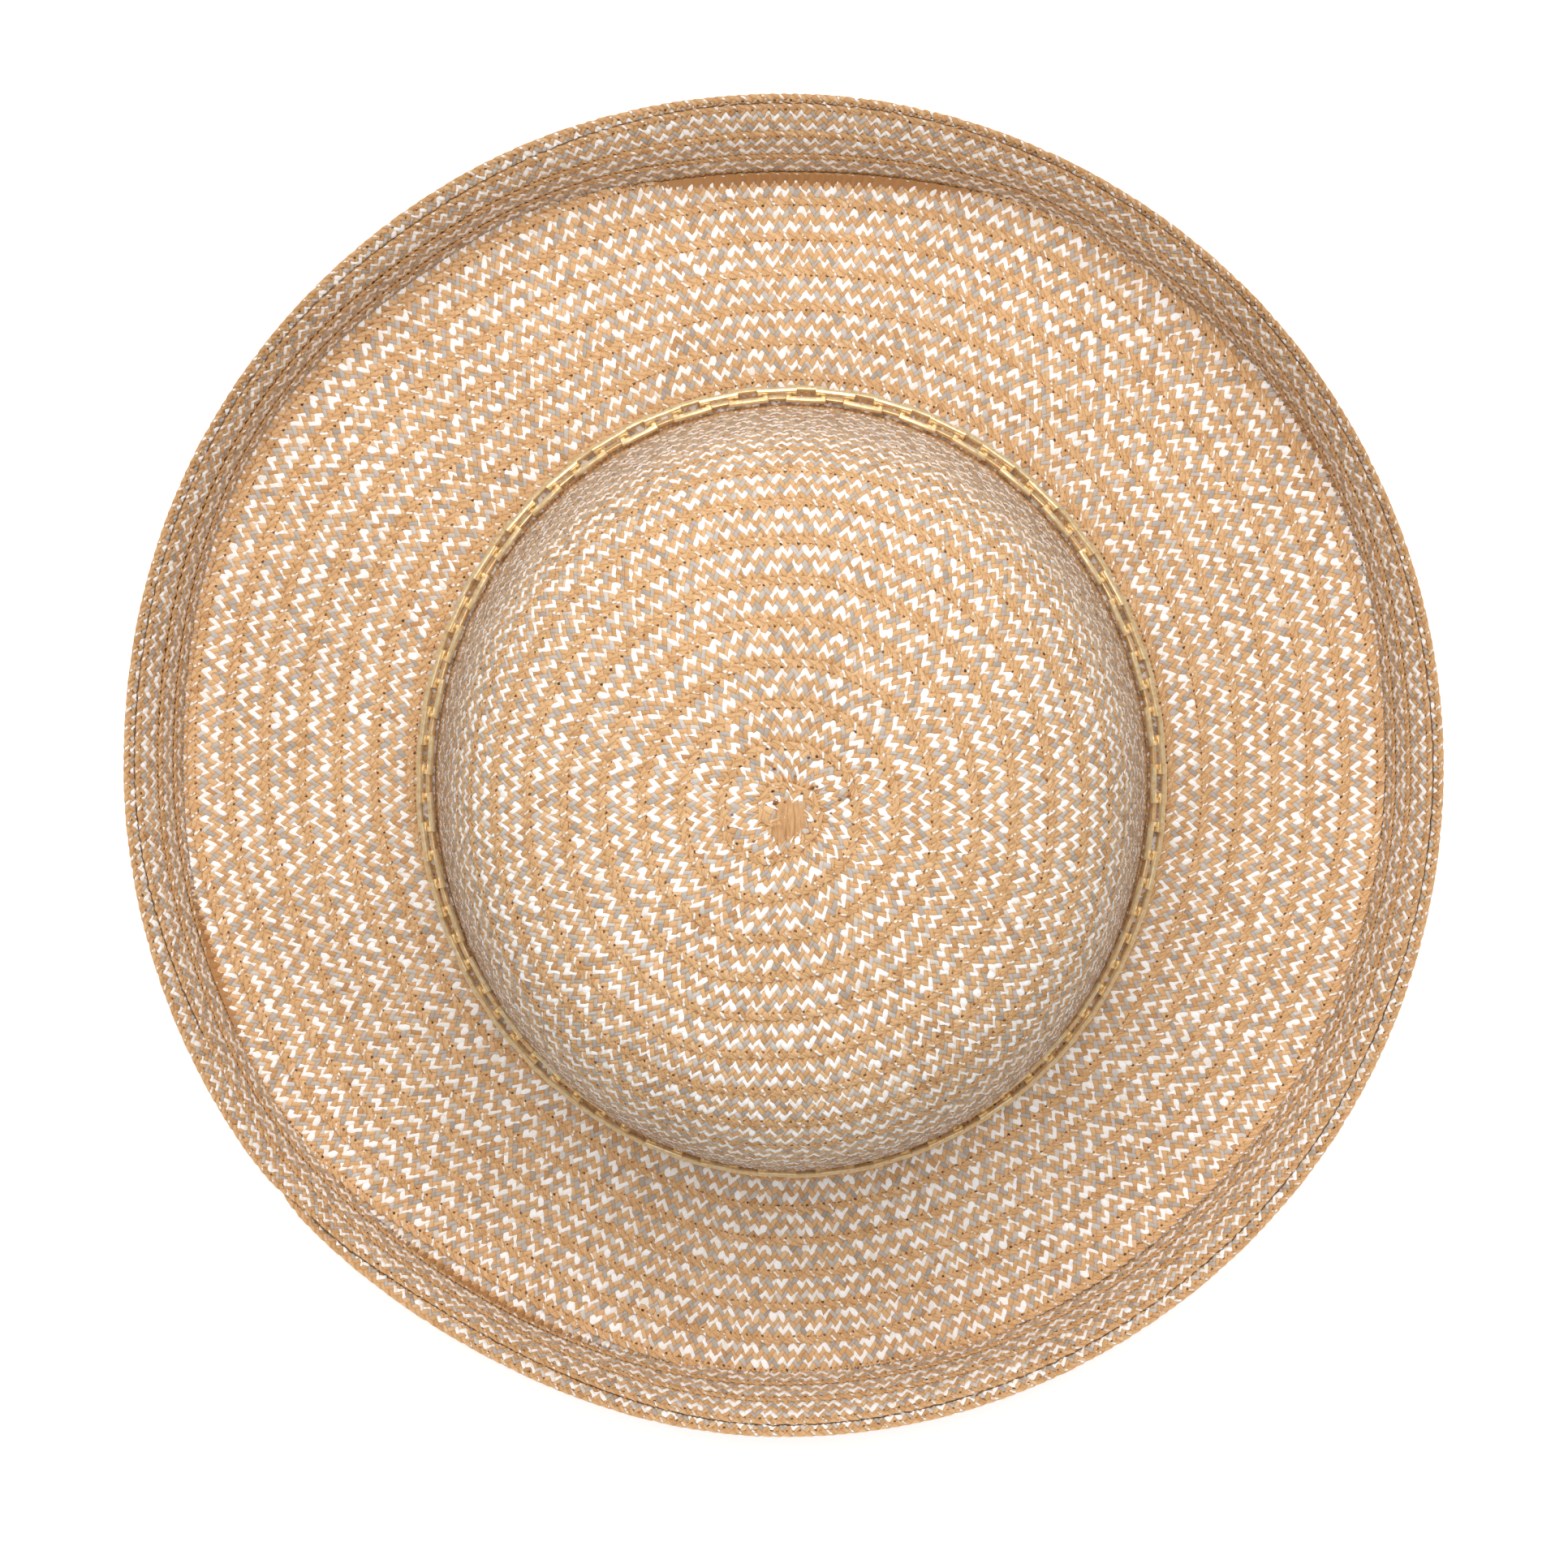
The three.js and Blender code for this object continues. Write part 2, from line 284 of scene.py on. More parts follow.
# Spiral that the braid follows
class Winding:
    """One surface with the braid wound on it. Turns count outwards, clockwise from above."""

    def __init__(self, surface, lengths, rows, start_angle, stray, edge_at_start, caps, lifted_edge):
        self.surface, self.lengths, self.rows = surface, lengths, rows
        self.start_angle, self.stray = math.radians(start_angle), stray
        self.edge_at_start, self.caps, self.lifted_edge = edge_at_start, caps, lifted_edge

    def angle(self, turn):
        return self.start_angle - 2 * np.pi * turn

    def edge(self, turn):
        """Outer edge of the braid at a turn, in rows from the start of the surface."""
        angle = self.angle(turn)
        strayed = round_table(self.stray, angle) - round_table(self.stray, np.array([self.start_angle]))
        edge = self.edge_at_start + turn + strayed
        return self.caps(turn, edge)

    def row_length(self, angle):
        place = (angle / (2 * np.pi) % 1) * AROUND
        return np.interp(place, np.arange(AROUND + 1), np.append(self.lengths, self.lengths[0])) / self.rows

    def place(self, turn, steps_up, height):
        """Places of braid points: turn, steps across the braid, height over the middle."""
        angle = self.angle(turn)
        pitch = self.row_length(angle)
        edge = self.edge(turn)
        showing = edge - self.edge(turn - 1)
        inside = (BRAID_STEPS - steps_up) * STEP_ACROSS / pitch
        share = (edge - inside) / self.rows
        at_tip = TIP_SHARE * np.exp(np.minimum(share / TIP_SHARE - 1, 0))
        share = np.where(share < TIP_SHARE, at_tip, share)
        at_rim = RIM_SHARE + PAST_RIM * (1 - np.exp((RIM_SHARE - share) / RIM_EASE))
        share = np.where(share > RIM_SHARE, at_rim, share)
        spot, normal = on_surface(self.surface, angle, share)
        shingle = LOW_FACE + SHINGLE * (np.clip(showing, *TILT_LIMITS) - inside)
        shingle += self.lifted_edge(edge) * np.clip(1 - LIFT_SLOPE * inside, 0, 1) ** 2
        return spot + normal * (shingle + height)[..., None], normal

    def columns(self, first_turn, last_turn):
        """Turns of the braid's columns, one every STEP_ALONG along its middle."""
        turns = np.linspace(first_turn, last_turn, int((last_turn - first_turn) * TURN_SAMPLES))
        spots, _ = self.place(turns, np.full(len(turns), MIDDLE_STEP), np.zeros(len(turns)))
        run = np.concatenate([[0], np.cumsum(np.linalg.norm(np.diff(spots, axis=0), axis=1))])
        count = int(run[-1] / STEP_ALONG) // 4 * 4
        last = count + SPARE_COLUMNS
        return np.interp(np.arange(last + 1) * run[-1] / last, run, turns)


# Weave: each entry is a strand's float over two others, as corners (along, across)
def float_faces(level):
    """The two floats of a level, as rims of six corners and ridges of two."""
    a = 2 * level
    rising = (
        [(-1, a), (0, a - 1), (1, a), (2, a + 1), (1, a + 2), (0, a + 1)],
        [(0, a), (1, a + 1)],
    )
    falling = (
        [(1, a + 2), (2, a + 1), (3, a), (4, a + 1), (3, a + 2), (2, a + 3)],
        [(2, a + 2), (3, a + 1)],
    )
    return rising, falling


def raised_triangles(corners, ridge, rising):
    """Eight triangles of a float: a rounded back along its strand."""
    p, (r, q) = corners, ridge
    if rising:
        return [(p[0], p[1], r), (p[1], p[2], r), (p[2], q, r), (p[2], p[3], q),
                (p[3], p[4], q), (p[4], p[5], q), (p[5], r, q), (p[5], p[0], r)]
    return [(p[0], p[1], r), (p[1], q, r), (p[1], p[2], q), (p[2], p[3], q),
            (p[3], p[4], q), (p[4], r, q), (p[4], p[5], r), (p[5], p[0], r)]


def flat_triangles(corners, rising):
    """Four triangles of a float on the hidden side: flat between its corners."""
    p = corners
    if rising:
        return [(p[0], p[1], p[2]), (p[0], p[2], p[5]), (p[2], p[3], p[5]), (p[3], p[4], p[5])]
    return [(p[0], p[1], p[5]), (p[1], p[2], p[3]), (p[1], p[3], p[4]), (p[1], p[4], p[5])]


def weave_pattern(lowest, raised):
    """Triangles of one repeat of four columns, with strand, slant, level and number of their float."""
    rows = []
    number = 0
    for level in range(lowest, TOP_LEVEL + 1):
        for slant, (corners, ridge) in enumerate(float_faces(level)):
            strand = -level if slant == 0 else level
            faces = flat_triangles(corners, slant == 0)
            if raised:
                faces = raised_triangles(corners, ridge, slant == 0)
            rows += [(face, strand, slant, level, number) for face in faces]
            number += 1
    rows += [(face, -8, 1, TOP_LEVEL, SELVEDGE) for face in EDGE_START]
    rows += [(face, -6, 1, TOP_LEVEL, SELVEDGE + 1) for face in EDGE_FOLD]
    return rows


# Edge of the braid, where tan strands fold back: triangles of one repeat
TOP_LEVEL = 6
SELVEDGE = 14
EDGE_START = [((3, 14), (4, 13), (4, 14)), ((3, 14), (4, 14), (3, 15)), ((3, 14), (3, 15), (2, 15))]
EDGE_FOLD = [((4, 13), (5, 14), (4, 14)), ((5, 14), (6, 15), (4, 14)), ((6, 15), (3, 15), (4, 14))]

# Levels where each face starts, counted from the inner edge, and the steps of its zigzag border there
FIRST_LEVELS = (2, 3)
INNER_BORDERS = ((3, 4, 5, 4, 3), (5, 6, 7, 6, 5))


def strand_widths(wide, tall, rng):
    """How far each dip is pushed along and across by the strand it borders, in steps."""
    column, level = np.meshgrid(np.arange(wide), np.arange(tall), indexing="ij")
    corner = (column - 2) % 4
    repeat = (column - 2 - corner) // 4
    rising = corner < 2
    row = np.where(corner == 3, level // 2 - 1, level // 2)
    strand = (2 * repeat + np.where(rising, -row, row)) % STRANDS
    dye = STRAND_DYE[strand]
    white = dye == 1.0
    # one draw for each float, and a slow one for each strand
    draw = rng.normal(0, 1, (wide // 4 + 2, 2, tall))
    slow = rng.normal(0, 1, (wide // 24 + 2, STRANDS))
    each = draw[repeat, np.where(rising, 0, 1), row]
    long = slow[repeat // 6, strand]
    white_push, plain_push = (
        mean + by_float * each + by_strand * long
        for mean, by_float, by_strand in (WHITE_WIDTH, PLAIN_WIDTH)
    )
    push = np.clip(np.where(white, white_push, plain_push), *WIDTH_LIMITS)
    along = push * np.array([-1, 1, -1, 1])[corner]
    across = push * np.array([1, -1, -1, 1])[corner]
    return along, across


def braid_points(winding, turns, under, seed):
    """Points of one face of the braid on its lattice, ridges high and dips low."""
    rng = np.random.default_rng(seed)
    wide, tall = len(turns), BRAID_STEPS + 1
    along, across = np.meshgrid(np.arange(wide), np.arange(tall), indexing="ij")
    odd = (along + across) % 2 == 1
    lift = np.where(odd, -STRAND_RISE, STRAND_RISE) + rng.normal(0, RISE_STRAY, odd.shape)
    # the stitches pull in a groove, and the edge turns down
    lift[:, BRAID_STEPS - 2] -= GROOVE
    lift[:, BRAID_STEPS - 1] *= 0.5
    lift[:, BRAID_STEPS] = -EDGE_DROP
    inner = odd & (across < BRAID_STEPS - 1)
    edge = across == BRAID_STEPS
    push_along, push_across = strand_widths(wide, tall, rng)
    x = along + (push_along + rng.normal(0, WOBBLE, odd.shape)) * inner
    y = across + (push_across + rng.normal(0, WOBBLE, odd.shape)) * inner
    y = y + edge * rng.normal(0, EDGE_STRAY, odd.shape)
    y = y + edge * EDGE_SCALLOP[(along - 2) % 4]
    turn = np.interp(x, np.arange(wide), turns)
    if under:
        points, _ = winding.place(turn, BRAID_STEPS - 1 - y, -RIBBON - lift)
    else:
        points, _ = winding.place(turn, y, lift)
    return points.reshape(-1, 3)


class Weave:
    """The whole braid of one winding: its columns, points and the tones of its strands."""

    def __init__(self, winding, first_turn, last_turn, seed, foot_edge):
        self.winding, self.foot_edge = winding, foot_edge
        self.turns = winding.columns(first_turn, last_turn)
        self.points = np.vstack([
            braid_points(winding, self.turns, False, seed),
            braid_points(winding, self.turns, True, seed + 1),
        ])
        self.repeats = (len(self.turns) - SPARE_COLUMNS) // 4
        rng = np.random.default_rng(seed + 2)
        self.float_tone = rng.random((2, 64, self.repeats + 1))
        self.strand_tone = rng.random((STRANDS, self.repeats // 6 + 4))

    def repeat_at(self, turn):
        """The four-column repeat nearest a turn."""
        return int(np.clip((np.searchsorted(self.turns, turn) - 4) // 4, 0, self.repeats))


def close_end(open_sides, half):
    """Triangles across one open end of a ribbon, from its upper rim to its lower one."""
    following = dict(open_sides.tolist())
    ring = [next(after for before, after in following.items() if before >= half > after)]
    while following[ring[-1]] != ring[0]:
        ring.append(following[ring[-1]])
    upper = [point for point in ring if point < half]
    lower = [point for point in ring if point >= half][::-1]
    i = j = 0
    caps = []
    while i < len(upper) - 1 or j < len(lower) - 1:
        if j == len(lower) - 1 or (i < len(upper) - 1 and i * len(lower) <= j * len(upper)):
            caps.append((upper[i + 1], upper[i], lower[j]))
            i += 1
        else:
            caps.append((lower[j], lower[j + 1], upper[i]))
            j += 1
    return np.array(caps)


class Triangles:
    """Triangles of a ribbon, with each corner's place on its strand, dye, tone and place laid flat."""

    def __init__(self):
        self.lists = ([], [], [], [], [], [])

    def add(self, faces, along, across, dye, tone, flat):
        for kept, values in zip(self.lists, (faces, along, across, dye, tone, flat)):
            kept.append(values)

    def add_plain(self, faces, flat):
        """Triangles in plain tan, for the ribbon's edges and ends; their place across a strand gives them
        its full painted side shade.
        """
        plain = np.zeros(faces.shape)
        self.add(faces, plain + 0.3, plain + 0.5, plain, plain + 0.3, flat)


# Flat layout for baking, in steps: height of one length of ribbon, its under face, its edges, margins
LANE_HEIGHT = 34
UNDER_LANE = 17.0
EDGE_LANE = 15.5
LANE_MARGIN = 3


def tan_at_foot(weave, repeat, column, level, under, dye):
    """The dye, but plain tan along the crown's lower edge."""
    winding = weave.winding
    middle = 4 * repeat + 2 + column.mean()
    turn = np.interp(middle, np.arange(len(weave.turns)), weave.turns)
    steps = BRAID_STEPS - 1 - level.mean() if under else level.mean()
    pitch = winding.row_length(winding.angle(turn))
    left = (winding.rows - winding.edge(turn)) * pitch + (BRAID_STEPS - steps) * STEP_ACROSS
    return np.where(left < TAN_EDGE, 0.0, dye)


def add_woven_face(triangles, weave, repeat, under, raised):
    """One face of the ribbon: its floats and, along the outer edge, the folds of tan strands."""
    tall = BRAID_STEPS + 1
    half = len(weave.turns) * tall
    base = 4 * repeat[:, None] + 2
    float_tone = weave.float_tone[under]
    for corners, strand, slant, row, number in weave_pattern(FIRST_LEVELS[under], raised):
        column, level = np.array(corners).T
        k = (2 * repeat + strand) % STRANDS
        dye = STRAND_DYE[k]
        if weave.foot_edge:
            dye = tan_at_foot(weave, repeat, column, level, under, dye)
        slow = weave.strand_tone[k, (repeat // 6 + number) % weave.strand_tone.shape[1]]
        tone = 0.55 * float_tone[number % 64, repeat] + 0.45 * slow
        # every float has its own stretch of the fibres
        shift = np.floor(float_tone[(number * 7 + 3) % 64, repeat] * 60)
        lean = level - 2 * row if slant == 0 else 2 * row - level
        run, side = (column + lean + 1) / 4.0, (column - lean) / 2.0
        if number >= SELVEDGE:
            tone = 0.2 + 0.6 * tone
            # on the band these places draw the painted side shade as slanted lines, like a twisted rope
            run, side = 0.5 + (column - 4) / 24.0, (level - 13) * 0.5 + column * 0.25
        triangles.add(
            base * tall + column * tall + level + under * half,
            shift[:, None] + run,
            0 * base + side,
            np.repeat(dye[:, None], 3, 1),
            np.repeat(tone[:, None], 3, 1),
            np.stack([base + column, 0 * base + level + under * UNDER_LANE], axis=2),
        )


def add_borders(triangles, base, half):
    """The ribbon's two edges, which join its faces."""
    tall = BRAID_STEPS + 1
    for under, steps in enumerate(INNER_BORDERS):
        a = [(base + i) * tall + steps[i] + under * half for i in range(5)]
        b = [(base + i) * tall + BRAID_STEPS + (1 - under) * half for i in (-1, 2, 3)]
        strips = [(a[0], b[0], b[1]), (a[1], a[0], b[1]), (a[2], a[1], b[1]),
                  (a[2], b[1], b[2]), (a[3], a[2], b[2]), (a[4], a[3], b[2])]
        for i, strip in enumerate(strips):
            # the first triangle reaches back to a repeat that the first one lacks
            begin = 1 if i == 0 else 0
            flat = np.stack([base, base * 0 + EDGE_LANE], axis=1)[begin:, None, :]
            triangles.add_plain(np.stack(strip, axis=1)[begin:], np.repeat(flat, 3, 1))


def add_ends(triangles, half, middle):
    """The ribbon's two ends, closed from face to face."""
    tall = BRAID_STEPS + 1
    faces = np.vstack(triangles.lists[0])
    sides = np.vstack([faces[:, [0, 1]], faces[:, [1, 2]], faces[:, [2, 0]]])
    count = 2 * half
    there = sides[:, 0] * count + sides[:, 1]
    back = sides[:, 1] * count + sides[:, 0]
    open_sides = sides[~np.isin(there, back)]
    at_last = (open_sides[:, 0] % half) // tall > middle
    caps = np.vstack([close_end(open_sides[at_last == end], half) for end in (False, True)])
    column = (caps % half) // tall
    triangles.add_plain(caps, np.stack([column, column * 0 + EDGE_LANE], axis=2))


def ribbon_mesh(name, points, faces, half):
    """A smooth mesh whose strands stay crisp where one dips under the next."""
    tall = BRAID_STEPS + 1
    used, loops = np.unique(faces.reshape(-1), return_inverse=True)
    mesh = bpy.data.meshes.new(name)
    mesh.vertices.add(len(used))
    mesh.vertices.foreach_set("co", (points[used] * MM).astype(np.float32).ravel())
    mesh.loops.add(len(loops))
    mesh.loops.foreach_set("vertex_index", loops.astype(np.int32))
    mesh.polygons.add(len(faces))
    mesh.polygons.foreach_set("loop_start", np.arange(0, len(loops), 3, dtype=np.int32))
    mesh.polygons.foreach_set("use_smooth", np.ones(len(faces), bool))
    mesh.update(calc_edges=True)
    column, step = np.divmod(used % half, tall)
    dip = (column + step) % 2 == 1
    border = step == BRAID_STEPS
    ends = np.empty(len(mesh.edges) * 2, np.int32)
    mesh.edges.foreach_get("vertices", ends)
    one, two = ends.reshape(-1, 2).T
    crisp = (dip[one] & dip[two]) | (border[one] & border[two])
    mesh.attributes.new("sharp_edge", "BOOLEAN", "EDGE").data.foreach_set("value", crisp)
    return mesh


def flat_layout(flat, columns):
    """Places for baking: the ribbon cut into lengths laid side by side."""
    place = flat[:, :, 0] - columns[0]
    lanes = max(1, round(math.sqrt(len(columns) * STEP_ALONG / (LANE_HEIGHT * STEP_ACROSS))))
    length = math.ceil(len(columns) / lanes)
    lane = np.minimum((place.mean(axis=1) // length).astype(int), lanes - 1)[:, None]
    u = (place - lane * length + LANE_MARGIN) / (length + 2 * LANE_MARGIN)
    v = (lane + (flat[:, :, 1] + 0.5) / LANE_HEIGHT) / lanes
    return u, v


def cut_piece(name, weave, first_turn, last_turn, raised_under):
    """One stretch of a woven winding as a closed ribbon."""
    half = len(weave.turns) * (BRAID_STEPS + 1)
    repeat = np.arange(weave.repeat_at(first_turn), weave.repeat_at(last_turn))
    columns = np.arange(4 * repeat[0], 4 * repeat[-1] + 8)
    triangles = Triangles()
    add_woven_face(triangles, weave, repeat, 0, True)
    add_woven_face(triangles, weave, repeat, 1, raised_under)
    add_borders(triangles, 4 * repeat + 2, half)
    add_ends(triangles, half, columns.mean())
    faces, along, across, dye, tone, flat = (np.vstack(kept) for kept in triangles.lists)
    mesh = ribbon_mesh(name, weave.points, faces, half)
    for label, values in (("dye", dye), ("tone", tone)):
        layer = mesh.attributes.new(label, "FLOAT", "CORNER")
        layer.data.foreach_set("value", values.astype(np.float32).ravel())
    for label, pair in (("strand", (along, across)), ("OFBake", flat_layout(flat, columns))):
        mesh.uv_layers.new(name=label)
        places = np.stack(pair, axis=2).astype(np.float32)
        mesh.uv_layers[label].uv.foreach_set("vector", places.ravel())
    mesh.uv_layers["strand"].active_render = True
    mesh.uv_layers.active = mesh.uv_layers["strand"]
    piece = bpy.data.objects.new(name, mesh)
    bpy.context.scene.collection.objects.link(piece)
    finish_piece(piece, STRAW_MATERIAL)
    return piece


def finish_piece(piece, material):
    """Gives a piece its material and its place on the hat."""
    piece.data.materials.clear()
    piece.data.materials.append(material)
    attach(piece, "root")


# Windings of crown and brim
def crown_caps(turn, edge):
    """The crown's rows keep their edges."""
    return edge


def brim_caps(turn, edge):
    """The brim's last turn is a narrow strip along the rim, tapered at both ends."""
    last = BRIM_TURNS[1]
    start = last - 1 - STRIP_TAPER
    strip = np.clip((turn - start) / STRIP_TAPER, 0, 1) * np.clip((last - turn) / STRIP_TAPER, 0, 1)
    return np.minimum(edge, BRIM_ROWS - RIM_STRIP * (1 - strip))


def crown_lift(edge):
    """The crown's rows lie close."""
    return 0 * edge


def brim_lift(edge):
    """Row edges stand up along the crease and at the rim."""
    crease = np.clip(1 - np.abs(edge - CREASE_ROW) / 1.1, 0, 1)
    rim = np.clip(1 - np.abs(edge - (BRIM_ROWS - RIM_STRIP)) / 0.15, 0, 1)
    return CREASE_LIFT * crease + RIM_LIFT * rim


crown_winding = Winding(
    *crown_surface(), CROWN_ROWS, CROWN_START, CROWN_STRAY,
    CROWN_FIRST_EDGE, crown_caps, crown_lift,
)
brim_winding = Winding(
    *brim_surface(), BRIM_ROWS, BRAID_END, BRIM_STRAY,
    BRIM_ROWS - RIM_STRIP - (BRIM_TURNS[1] - STRIP_TAPER - 1) + 0.1, brim_caps, brim_lift,
)


# Materials
def new_material(name):
    material = bpy.data.materials.new(name)
    material.use_nodes = True
    tree = material.node_tree
    return material, tree, tree.nodes["Principled BSDF"]


def add_node(tree, kind, inputs=None, **settings):
    node = tree.nodes.new(kind)
    for key, value in settings.items():
        setattr(node, key, value)
    for key, value in (inputs or {}).items():
        if isinstance(value, bpy.types.NodeSocket):
            tree.links.new(value, node.inputs[key])
        else:
            node.inputs[key].default_value = value
    return node


def ramp(tree, factor, stops):
    node = tree.nodes.new("ShaderNodeValToRGB")
    elements = node.color_ramp.elements
    while len(elements) < len(stops):
        elements.new(0.5)
    for element, (place, colour) in zip(elements, stops):
        element.position = place
        element.color = (*colour, 1)
    tree.links.new(factor, node.inputs[0])
    return node.outputs[0]


def linear(red, green, blue):
    """Colour given as it looks on a screen, from 0 to 255."""
    return tuple(((c / 255 + 0.055) / 1.055) ** 2.4 if c > 10 else c / 3295 for c in (red, green, blue))


def mix_colour(tree, blend, factor, one, two):
    node = tree.nodes.new("ShaderNodeMix")
    node.data_type = "RGBA"
    node.blend_type = blend
    for socket, value in ((node.inputs[0], factor), (node.inputs[6], one), (node.inputs[7], two)):
        if isinstance(value, bpy.types.NodeSocket):
            tree.links.new(value, socket)
        else:
            socket.default_value = value
    return node.outputs[2]


def object_place(tree):
    """Places on the hat, to hang a pattern on."""
    return add_node(tree, "ShaderNodeTexCoord").outputs["Object"]


def noise(tree, place, scale, **more):
    inputs = {"Vector": place, "Scale": scale}
    inputs.update(more)
    return add_node(tree, "ShaderNodeTexNoise", inputs).outputs[0]


def add_bump(tree, shader, height, strength, distance):
    bump = add_node(tree, "ShaderNodeBump", {"Height": height, "Strength": strength, "Distance": distance})
    tree.links.new(bump.outputs[0], shader.inputs["Normal"])


def add_roughness(tree, shader, value, low, high):
    rough = add_node(tree, "ShaderNodeMapRange", {"Value": value, "To Min": low, "To Max": high}).outputs[0]
    tree.links.new(rough, shader.inputs["Roughness"])


def math_node(tree, operation, value, other):
    return add_node(tree, "ShaderNodeMath", {0: value, 1: other}, operation=operation).outputs[0]


def mottled_straw():
    """Dyed paper straw: tan, white and warm grey strands with fine fibres, and painted shade where strands
    tuck under.
    """
    material, tree, shader = new_material("mottled straw")
    dye = add_node(tree, "ShaderNodeAttribute", attribute_name="dye").outputs["Fac"]
    tone = add_node(tree, "ShaderNodeAttribute", attribute_name="tone").outputs["Fac"]
    strand = add_node(tree, "ShaderNodeUVMap", uv_map="strand").outputs[0]
    tan = ramp(tree, tone, [
        (0.0, linear(188, 142, 97)), (0.35, linear(212, 169, 120)),
        (0.7, linear(222, 181, 135)), (1.0, linear(231, 196, 154)),
    ])
    grey = ramp(tree, tone, [
        (0.0, linear(164, 152, 140)), (0.6, linear(196, 186, 176)), (1.0, linear(222, 214, 206)),
    ])
    white = ramp(tree, tone, [
        (0.0, linear(232, 226, 218)), (0.4, linear(250, 248, 246)), (1.0, linear(254, 254, 254)),
    ])
    colour = mix_colour(tree, "MIX", math_node(tree, "GREATER_THAN", dye, 0.25), tan, grey)
    colour = mix_colour(tree, "MIX", math_node(tree, "GREATER_THAN", dye, 0.75), colour, white)
    # fibres along each strand
    stretched = add_node(tree, "ShaderNodeMapping", {"Vector": strand, "Scale": (1.8, 9.0, 1.0)}).outputs[0]
    fibres = noise(tree, stretched, 1.6, Detail=3.0, Roughness=0.6)
    streak = ramp(tree, fibres, [
        (0.3, (0.8, 0.76, 0.71)), (0.52, (1.0, 1.0, 1.0)), (0.75, (1.05, 1.05, 1.04)),
    ])
    colour = mix_colour(tree, "MULTIPLY", 0.85, colour, streak)
    # painted shade: darker where a strand's sides and ends tuck under the next
    split = add_node(tree, "ShaderNodeSeparateXYZ", {0: strand})
    sides = math_node(tree, "PINGPONG", split.outputs[1], 0.5)
    ends = math_node(tree, "PINGPONG", split.outputs[0], 0.5)
    side_shade = ramp(tree, sides, [(0.36, (1.0, 1.0, 1.0)), (0.49, (0.7, 0.58, 0.46))])
    end_shade = ramp(tree, ends, [(0.0, (0.74, 0.64, 0.54)), (0.1, (1.0, 1.0, 1.0))])
    painted_tuck_shade = mix_colour(tree, "MULTIPLY", 1.0, side_shade, end_shade)
    # the painted shade is strong on tan strands and faint on white ones
    pale = add_node(tree, "ShaderNodeMapRange", {"Value": dye, "To Min": 0.9, "To Max": 0.3}).outputs[0]
    colour = mix_colour(tree, "MULTIPLY", pale, colour, painted_tuck_shade)
    # slow change of colour over the hat
    cloud = noise(tree, object_place(tree), 22.0, Detail=2.0)
    warm = ramp(tree, cloud, [(0.35, (0.94, 0.92, 0.9)), (0.65, (1.03, 1.03, 1.03))])
    colour = mix_colour(tree, "MULTIPLY", 0.7, colour, warm)
    tree.links.new(colour, shader.inputs["Base Color"])
    add_roughness(tree, shader, fibres, 0.62, 0.85)
    shader.inputs["Specular IOR Level"].default_value = 0.35
    add_bump(tree, shader, fibres, 0.35, 0.0002)
    return material


def gold_metal():
    """Bright gold colour plating with a faint wear."""
    material, tree, shader = new_material("gold plating")
    wear = noise(tree, object_place(tree), 900.0, Detail=4.0)
    colour = ramp(tree, wear, [
        (0.3, linear(240, 206, 150)), (0.55, linear(252, 230, 184)), (0.8, linear(255, 245, 220)),
    ])
    tree.links.new(colour, shader.inputs["Base Color"])
    add_roughness(tree, shader, wear, 0.22, 0.4)
    shader.inputs["Metallic"].default_value = 0.6
    add_bump(tree, shader, wear, 0.1, 0.0001)
    return material


def plain_straw():
    """Tan straw without dye, with fibres along it."""
    material, tree, shader = new_material("plain tan straw")
    stretch = {"Vector": object_place(tree), "Scale": (2200.0, 240.0, 600.0)}
    fibres = noise(tree, add_node(tree, "ShaderNodeMapping", stretch).outputs[0], 1.0, Detail=3.0)
    colour = ramp(tree, fibres, [
        (0.3, linear(166, 118, 74)), (0.5, linear(194, 147, 98)), (0.7, linear(210, 166, 118)),
    ])
    tree.links.new(colour, shader.inputs["Base Color"])
    shader.inputs["Roughness"].default_value = 0.75
    add_bump(tree, shader, fibres, 0.5, 0.0003)
    return material


def patchy_material(name, scale, detail, stops, roughness):
    """A matt material whose colour changes in small patches; also its tree, shader and patches."""
    material, tree, shader = new_material(name)
    patches = noise(tree, object_place(tree), scale, Detail=detail)
    tree.links.new(ramp(tree, patches, stops), shader.inputs["Base Color"])
    shader.inputs["Roughness"].default_value = roughness
    return material, tree, shader, patches


def sewing_thread():
    """Tan sewing thread with a slight change of tone along the seam."""
    stops = [(0.35, linear(176, 128, 80)), (0.65, linear(212, 166, 114))]
    material, tree, shader, patches = patchy_material("tan sewing thread", 260.0, 2.0, stops, 0.7)
    add_bump(tree, shader, patches, 0.3, 0.0001)
    return material


def white_straw():
    """White strands where they fold round the edge of a row."""
    stops = [(0.35, linear(226, 212, 196)), (0.6, linear(252, 249, 244))]
    material, tree, shader, patches = patchy_material("white straw", 700.0, 3.0, stops, 0.7)
    add_bump(tree, shader, patches, 0.3, 0.0001)
    return material


def needle_hole():
    """Dark brown painted shade in the holes that the needle left."""
    stops = [(0.35, linear(84, 54, 32)), (0.65, linear(136, 94, 56))]
    return patchy_material("needle hole shade", 400.0, 1.0, stops, 0.95)[0]


def brown_fleck():
    """Dark brown husk caught in the straw."""
    stops = [(0.4, linear(112, 66, 34)), (0.6, linear(160, 104, 60))]
    return patchy_material("brown husk", 1200.0, 2.0, stops, 0.8)[0]


STRAW_MATERIAL = mottled_straw()
TAB_MATERIAL = plain_straw()
FLECK_MATERIAL = brown_fleck()
THREAD_MATERIAL = sewing_thread()
HOLE_SHADE_MATERIAL = needle_hole()
TICK_MATERIAL = white_straw()
GOLD_MATERIAL = gold_metal()


